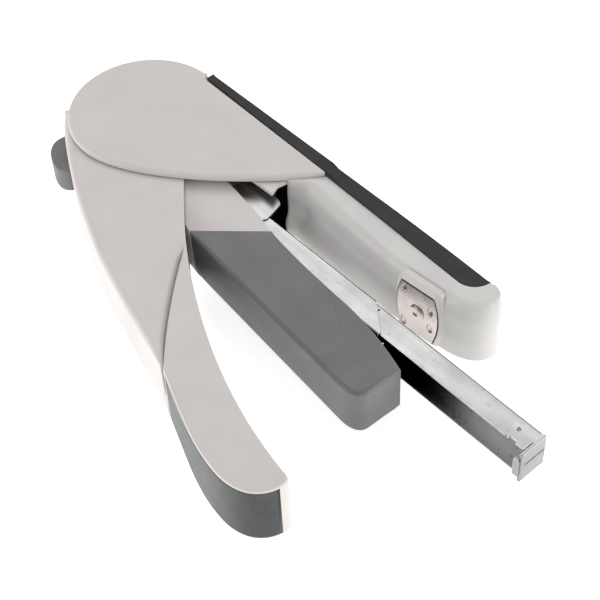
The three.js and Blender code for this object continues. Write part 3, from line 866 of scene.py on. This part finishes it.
def magazine_channel():
    """The staple channel, with its outlet, notches and dimple near the front."""
    walls = bent_channel(CARRIER_HALF, 1.2, -8.4, 100, 205)
    outlet = block((201.6, 207), (-0.6, 2), (-6.6, 6.6))
    notch = block((198.6, 201.6), (-9, -7.2), (6, 8))
    small_notch = block((197.0, 197.8), (-9, -7.9), (6, 8))
    hole = post((130.8, -0.9), 0.45, 6, 8, 16)
    dimple = ball((198.6, -3.4, 7.6), (0.95, 0.95, 0.665), 20, 12)
    mesh = cut(walls, outlet, notch, small_notch, hole, dimple)
    rear = block((100, 101), (-7.6, 1.1), (-6.8, 6.8))
    return soften(join(mesh, rear), 0.1, 1)


def magazine_front():
    x0, x1 = 205.3, 206.6
    plate = prism([(x0, -10.6), (x1, -10.6), (x1, 1.2), (x0, 1.2)], -CARRIER_HALF, CARRIER_HALF)
    plate = soften(plate, 0.35, 3)
    hook = block((203.7, 206.1), (-11.4, -10.2), (-4, 4))
    slit = block((x0 - 1, x1 + 1), (-9, 2), (0.5, 1.1))
    return cut(join(plate, hook), slit)


def limit_bracket():
    """A sheet over the guide's wall, with a rounded free corner at the base's end wall."""
    tab = Outline(50, -3.6).line((70.6, -3.6), (71.6, -0.6)).curve((70.6, 4), (69.4, 7.6), steps=8).curve(
        (68, 9), (64.4, 9.2), steps=6).line((62, 12.6), (50, 12.6)).points
    return soften(prism(tab, 7.9, 8.7), 0.22, 2, 50)


def paint_guide_edge_shadow(obj):
    """The faces along the guide's upper edge get the near-black painted shadow, a thin dark line."""
    obj.data.materials.append(SHADOW)
    for face in obj.data.polygons:
        x, y, z = (face.center - PIVOT) / MM
        if x > 60 and y > 0.5 and z > 7:
            face.material_index = 1


def shade_channel_inside(obj):
    """The channel's inner faces get the shaded copy of the steel, a painted shade."""
    obj.data.materials.append(SHADED_INNER_STEEL)
    for face in obj.data.polygons:
        _x, y, z = (face.center - PIVOT) / MM
        normal = face.normal
        wall = abs(z) < CARRIER_HALF - STEEL / 2 and normal.z * z < -0.5 * abs(z)
        web = y < 1.0 and normal.y < -0.5 and abs(z) < CARRIER_HALF - STEEL
        if wall or web:
            face.material_index = 1


def build_head():
    add_piece("head_side_frame", soften(head_frame(), 0.15, 1), "head", IVORY,
              ["head_frame"])
    add_piece("head_cover_shell", head_cover(), "head", GREY, ["head_cover"])
    guide = add_piece("guide_rail", magazine_guide(), "head", NICKEL,
                      ["magazine_guide"])
    paint_guide_edge_shadow(guide)
    add_piece("limit_plate", limit_bracket(), "head", NICKEL, ["limit_bracket"])
    channel = add_piece("staple_channel", magazine_channel(), "magazine", NICKEL,
                        ["magazine_channel"])
    shade_channel_inside(channel)
    add_piece("channel_front", magazine_front(), "magazine", NICKEL, ["magazine_front"])


# ---------------------------------------------------------------- handle

SEAM = ((63.6, -32), (78, -53), (104, -74.6))
BUTTON_PLACE = (-11.56, -31.59)
BUTTON_TURN = math.pi + math.radians(-29)


def outer_edge(outline):
    """Adds the handle's outer side, from its rear end to the seam."""
    return outline.curve((4, -41), (22, -49), (41, -56.5), steps=24).curve(
        (58, -63), (80, -67.6), SEAM[2], steps=24)


def rear_shell():
    outline = Outline(*SEAM[0]).curve((48, -21.5), (30, -5.5), polar(HUB_RADIUS, 51), steps=30)
    outline.arc(HUB_RADIUS, 51, 165, steps=30).line(polar(REAR_RADIUS, 222)).arc(REAR_RADIUS, 222, 240)
    outer_edge(outline).curve((81, -54.6), SEAM[0], steps=20)
    def share(x, y):
        return min(1, max(0, -21 - y - 0.2 * x) / 4)
    mesh = slab(outline.points, -SHELL_HALF, SHELL_HALF, (2.6, 2.6), (2.6, 2.6), 8, share)
    inner = SHELL_HALF - SHELL_WALL
    hollow = Outline(140, -60).line((60, 40), (-30, 40), (-40, -10), polar(30.6, 215)).arc(
        HEAD_RADIUS, 218, 240).curve((5, -38.6), (23, -46.8), (42, -54.2)).curve(
        (58, -60.4), (82, -65.2), (112, -74)).points
    return cut(mesh, prism(hollow, -inner, inner), on_rear_wall(block((-10.3, 10.3), (-6, 6), (-6, 6))),
               post((0, 0), PIN_BORE, -17, 17))


def on_rear_wall(mesh):
    """Moves a piece drawn round the button's middle to its place on the handle's outer wall."""
    return turned(mesh, Matrix.Translation((*BUTTON_PLACE, 0)) @ Matrix.Rotation(BUTTON_TURN, 4, "Z"))


def leaf_outline():
    return Outline(63.9, -32.2).curve((81.3, -54.6), (104.3, -74.7), steps=24).curve(
        (118, -80), (134, -87.6), (149, -88.3), steps=24).curve(
        (158.4, -88.6), (164.8, -84.2), (166, -76.2), steps=18).curve(
        (166.4, -72.8), (164, -72.5), steps=8).curve(
        (127.7, -67.9), (93.9, -52.5), (63.9, -32.2), steps=40).points


def grip_outline(grow=0.0):
    """A curved strip along the leaf's outer side and round its tip, grown on all sides for its recess."""
    g = grow
    strip = Outline(105.4 - g, -74.9 - 2 * g)
    strip.curve((118, -80 - g), (134, -88 - g), (149, -88.5 - g), steps=30)
    strip.curve((158.2 + g, -88.8 - g), (164.5 + g, -84.7 - g), (165.8 + g, -77.2 + g), steps=22)
    strip.line((164.2 - g, -77.2 + g))
    strip.curve((162.7 - g, -83.4 + g), (157, -87 + g), (149, -86.8 + g), steps=22)
    return strip.curve((134, -86 + g), (118, -78.4 + g), (106 - g, -73.6 + g), steps=30).points


def leaf():
    mesh = slab(leaf_outline(), -LEAF_HALF, LEAF_HALF, (1.0, 1.0), (1.0, 1.0))
    inner = SHELL_HALF - SHELL_WALL
    hollow = Outline(50, -20).line((60, -50), (104, -71.9)).curve(
        (118, -77), (134, -84.6), (149, -85.2)).curve((157, -85.4), (161.6, -82), (162.6, -76)).line(
        (162.6, -60)).points
    recess = prism(grip_outline(0.15), -GRIP_HALF - 0.15, GRIP_HALF + 0.15)
    return cut(mesh, prism(hollow, -inner, inner), recess)


def grip():
    return slab(grip_outline(), -GRIP_HALF, GRIP_HALF, (0.3, 0.3), (0.3, 0.3), 3)


def button():
    outline = Outline(-9.9, -3.4).line((4, -3.4), (9.9, -0.8)).curve(
        (9.7, 3.4), (5.6, 6.2), (0.4, 6.2), steps=20).curve(
        (-5.4, 6.2), (-9.6, 4.6), (-9.9, 0.4), steps=20).points
    return on_rear_wall(slab(outline, -5.7, 5.7, (0.9, 0.9), (0.9, 0.9)))


def build_handle():
    add_piece("handle_rear_body", rear_shell(), "handle", IVORY, ["handle_rear_shell"])
    add_piece("handle_front_leaf", leaf(), "handle", IVORY, ["handle_front_shell"])
    add_piece("handle_grip", grip(), "handle", GRIP, ["grip_pad"])
    add_piece("release_key", button(), "button", KEY, ["release_button"])


# ---------------------------------------------------------------- studio

CAMERA_PLACE = (0.287703, -0.209714, 0.416184)
CAMERA_AHEAD = (-0.51020, 0.42074, -0.75011)
CAMERA_RIGHT = (0.66621, 0.74493, -0.03530)
FLOOR_GLOW = 0.7
SKY_STRENGTH = 0.455

# Azimuth and elevation in degrees, then distance, width and height in metres, and power in watts
SOFTBOXES = {
    "left_box": (-24, 15, 1.6, 1.0, 0.9, 9),
    "right_box": (124, 15, 1.6, 1.0, 0.9, 11.5),
    "back_box": (232, 52, 1.8, 1.2, 1.0, 7),
}


def camera():
    data = bpy.data.cameras.new("camera")
    obj = bpy.data.objects.new("camera", data)
    bpy.context.scene.collection.objects.link(obj)
    data.lens = 90
    data.sensor_width = 36
    data.clip_start = 0.02
    data.clip_end = 20
    ahead = Vector(CAMERA_AHEAD).normalized()
    right = Vector(CAMERA_RIGHT).normalized()
    up = right.cross(ahead)
    place = Matrix((right, up, -ahead)).transposed().to_4x4()
    place.translation = Vector(CAMERA_PLACE)
    obj.matrix_world = place
    bpy.context.scene.camera = obj


def softbox(name, azimuth, elevation, distance, width, height, power):
    data = bpy.data.lights.new(name, "AREA")
    data.shape = "RECTANGLE"
    data.size = width
    data.size_y = height
    data.energy = power
    obj = bpy.data.objects.new(name, data)
    bpy.context.scene.collection.objects.link(obj)
    a, e = math.radians(azimuth), math.radians(elevation)
    out = Vector((math.sin(a) * math.cos(e), -math.cos(a) * math.cos(e), math.sin(e)))
    obj.location = out * distance
    obj.rotation_euler = out.to_track_quat("Z", "Y").to_euler()


def add_floor():
    floor = as_object("floor", block((-4, 4), (-4, 4), (-0.02, 0)))
    surface = Surface("floor_look", 0.7)
    surface.mottle(tone("f6f6f6"), tone("fafafa"), 3)
    surface.grain(300, 2e-6)
    surface.shader.inputs["Emission Color"].default_value = (1, 1, 1, 1)
    surface.shader.inputs["Emission Strength"].default_value = FLOOR_GLOW
    floor.data.materials.append(surface.finish(specular=0.2))


def add_sky():
    world = bpy.data.worlds.new("studio")
    bpy.context.scene.world = world
    world.use_nodes = True
    background = world.node_tree.nodes["Background"]
    background.inputs["Color"].default_value = (1, 1, 1, 1)
    background.inputs["Strength"].default_value = SKY_STRENGTH


def studio():
    add_floor()
    add_sky()
    for name, setting in SOFTBOXES.items():
        softbox(name, *setting)
    bpy.context.scene.view_settings.view_transform = "Standard"


dress_cad_nodes()
build_base()
build_head()
build_handle()
studio()
camera()
